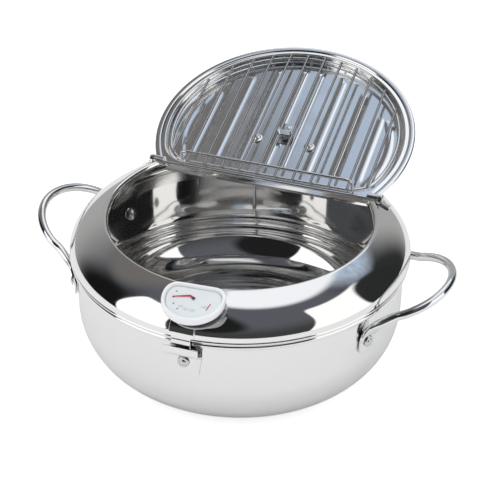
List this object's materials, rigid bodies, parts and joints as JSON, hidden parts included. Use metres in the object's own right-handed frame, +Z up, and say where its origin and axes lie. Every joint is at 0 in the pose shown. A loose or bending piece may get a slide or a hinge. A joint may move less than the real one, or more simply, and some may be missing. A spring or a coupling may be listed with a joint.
{
  "type": "stove-top deep fryer",
  "caption": "Steel frying pot with a lift-off domed splash guard, a hinged lid that folds back as a draining tray with a wire rack, and a dial thermometer.",
  "frame": {"origin": "middle of the pot's flat base, on the surface it stands on", "axes": "+Z up, +X along the handles to the right as seen from the front, -Y towards the catch and thermometer, +Y towards the hinge"},
  "size_m": [0.3147, 0.3343, 0.155],
  "materials": {
    "polished_steel": "mirror-polished stainless steel",
    "wire_steel": "bright drawn wire",
    "rivet_steel": "polished",
    "dial_face": "white enamel",
    "window": "clear",
    "pointer": "red enamel",
    "bimetal": "bare strip"
  },
  "bodies": {
    "pot": {"pot_body": "polished_steel", "handle_left": "polished_steel", "handle_right": "polished_steel", "handle_rivet_left_front": "rivet_steel", "handle_rivet_left_back": "rivet_steel", "handle_rivet_right_front": "rivet_steel", "handle_rivet_right_back": "rivet_steel", "catch_plate": "polished_steel", "catch_rivet": "rivet_steel"},
    "guard": {"splash_guard": "polished_steel", "latch_clip": "polished_steel", "hinge_bracket_left": "polished_steel", "hinge_bracket_right": "polished_steel", "hinge_pin_left": "rivet_steel", "hinge_pin_right": "rivet_steel", "thermometer_case": "polished_steel", "thermometer_dial": "dial_face", "thermometer_window": "window", "thermometer_clip": "polished_steel", "thermometer_stem": "polished_steel", "bimetal_coil": "bimetal"},
    "needle": {"thermometer_pointer": "pointer", "thermometer_spindle": "rivet_steel"},
    "lid": {"lid_pan": "polished_steel", "lid_handle": "polished_steel", "lid_rivet_left": "rivet_steel", "lid_rivet_right": "rivet_steel", "rack_clip": "polished_steel", "rack_clip_rivet": "rivet_steel"},
    "rack": {"rack_loop": "wire_steel", "rack_wire_01": "wire_steel", "rack_wire_02": "wire_steel", "rack_wire_03": "wire_steel", "rack_wire_04": "wire_steel", "rack_wire_05": "wire_steel", "rack_wire_06": "wire_steel", "rack_wire_07": "wire_steel", "rack_wire_08": "wire_steel", "rack_wire_09": "wire_steel", "rack_wire_10": "wire_steel", "rack_wire_11": "wire_steel", "rack_wire_12": "wire_steel", "rack_rail": "wire_steel"}
  },
  "joints": [
    {"name": "guard_lift", "type": "slide", "parent": "pot", "child": "guard", "axis": [0, 0, 1], "range_m": [0, 0.05]},
    {"name": "lid_hinge", "type": "hinge", "parent": "guard", "child": "lid", "pos_m": [0, 0.0529, 0.1129], "axis": [1, 0, 0], "range_deg": [0, 163.7]},
    {"name": "rack_lift", "type": "slide", "parent": "lid", "child": "rack", "axis": [0, -0.2807, 0.9598], "range_m": [0, 0.04]},
    {"name": "pointer_turn", "type": "hinge", "parent": "guard", "child": "needle", "pos_m": [0.0072, -0.1138, 0.1145], "axis": [0.012, -0.1904, 0.9816], "range_deg": [-22, 155], "stiffness_Nm_per_rad": 0.0005}
  ]
}
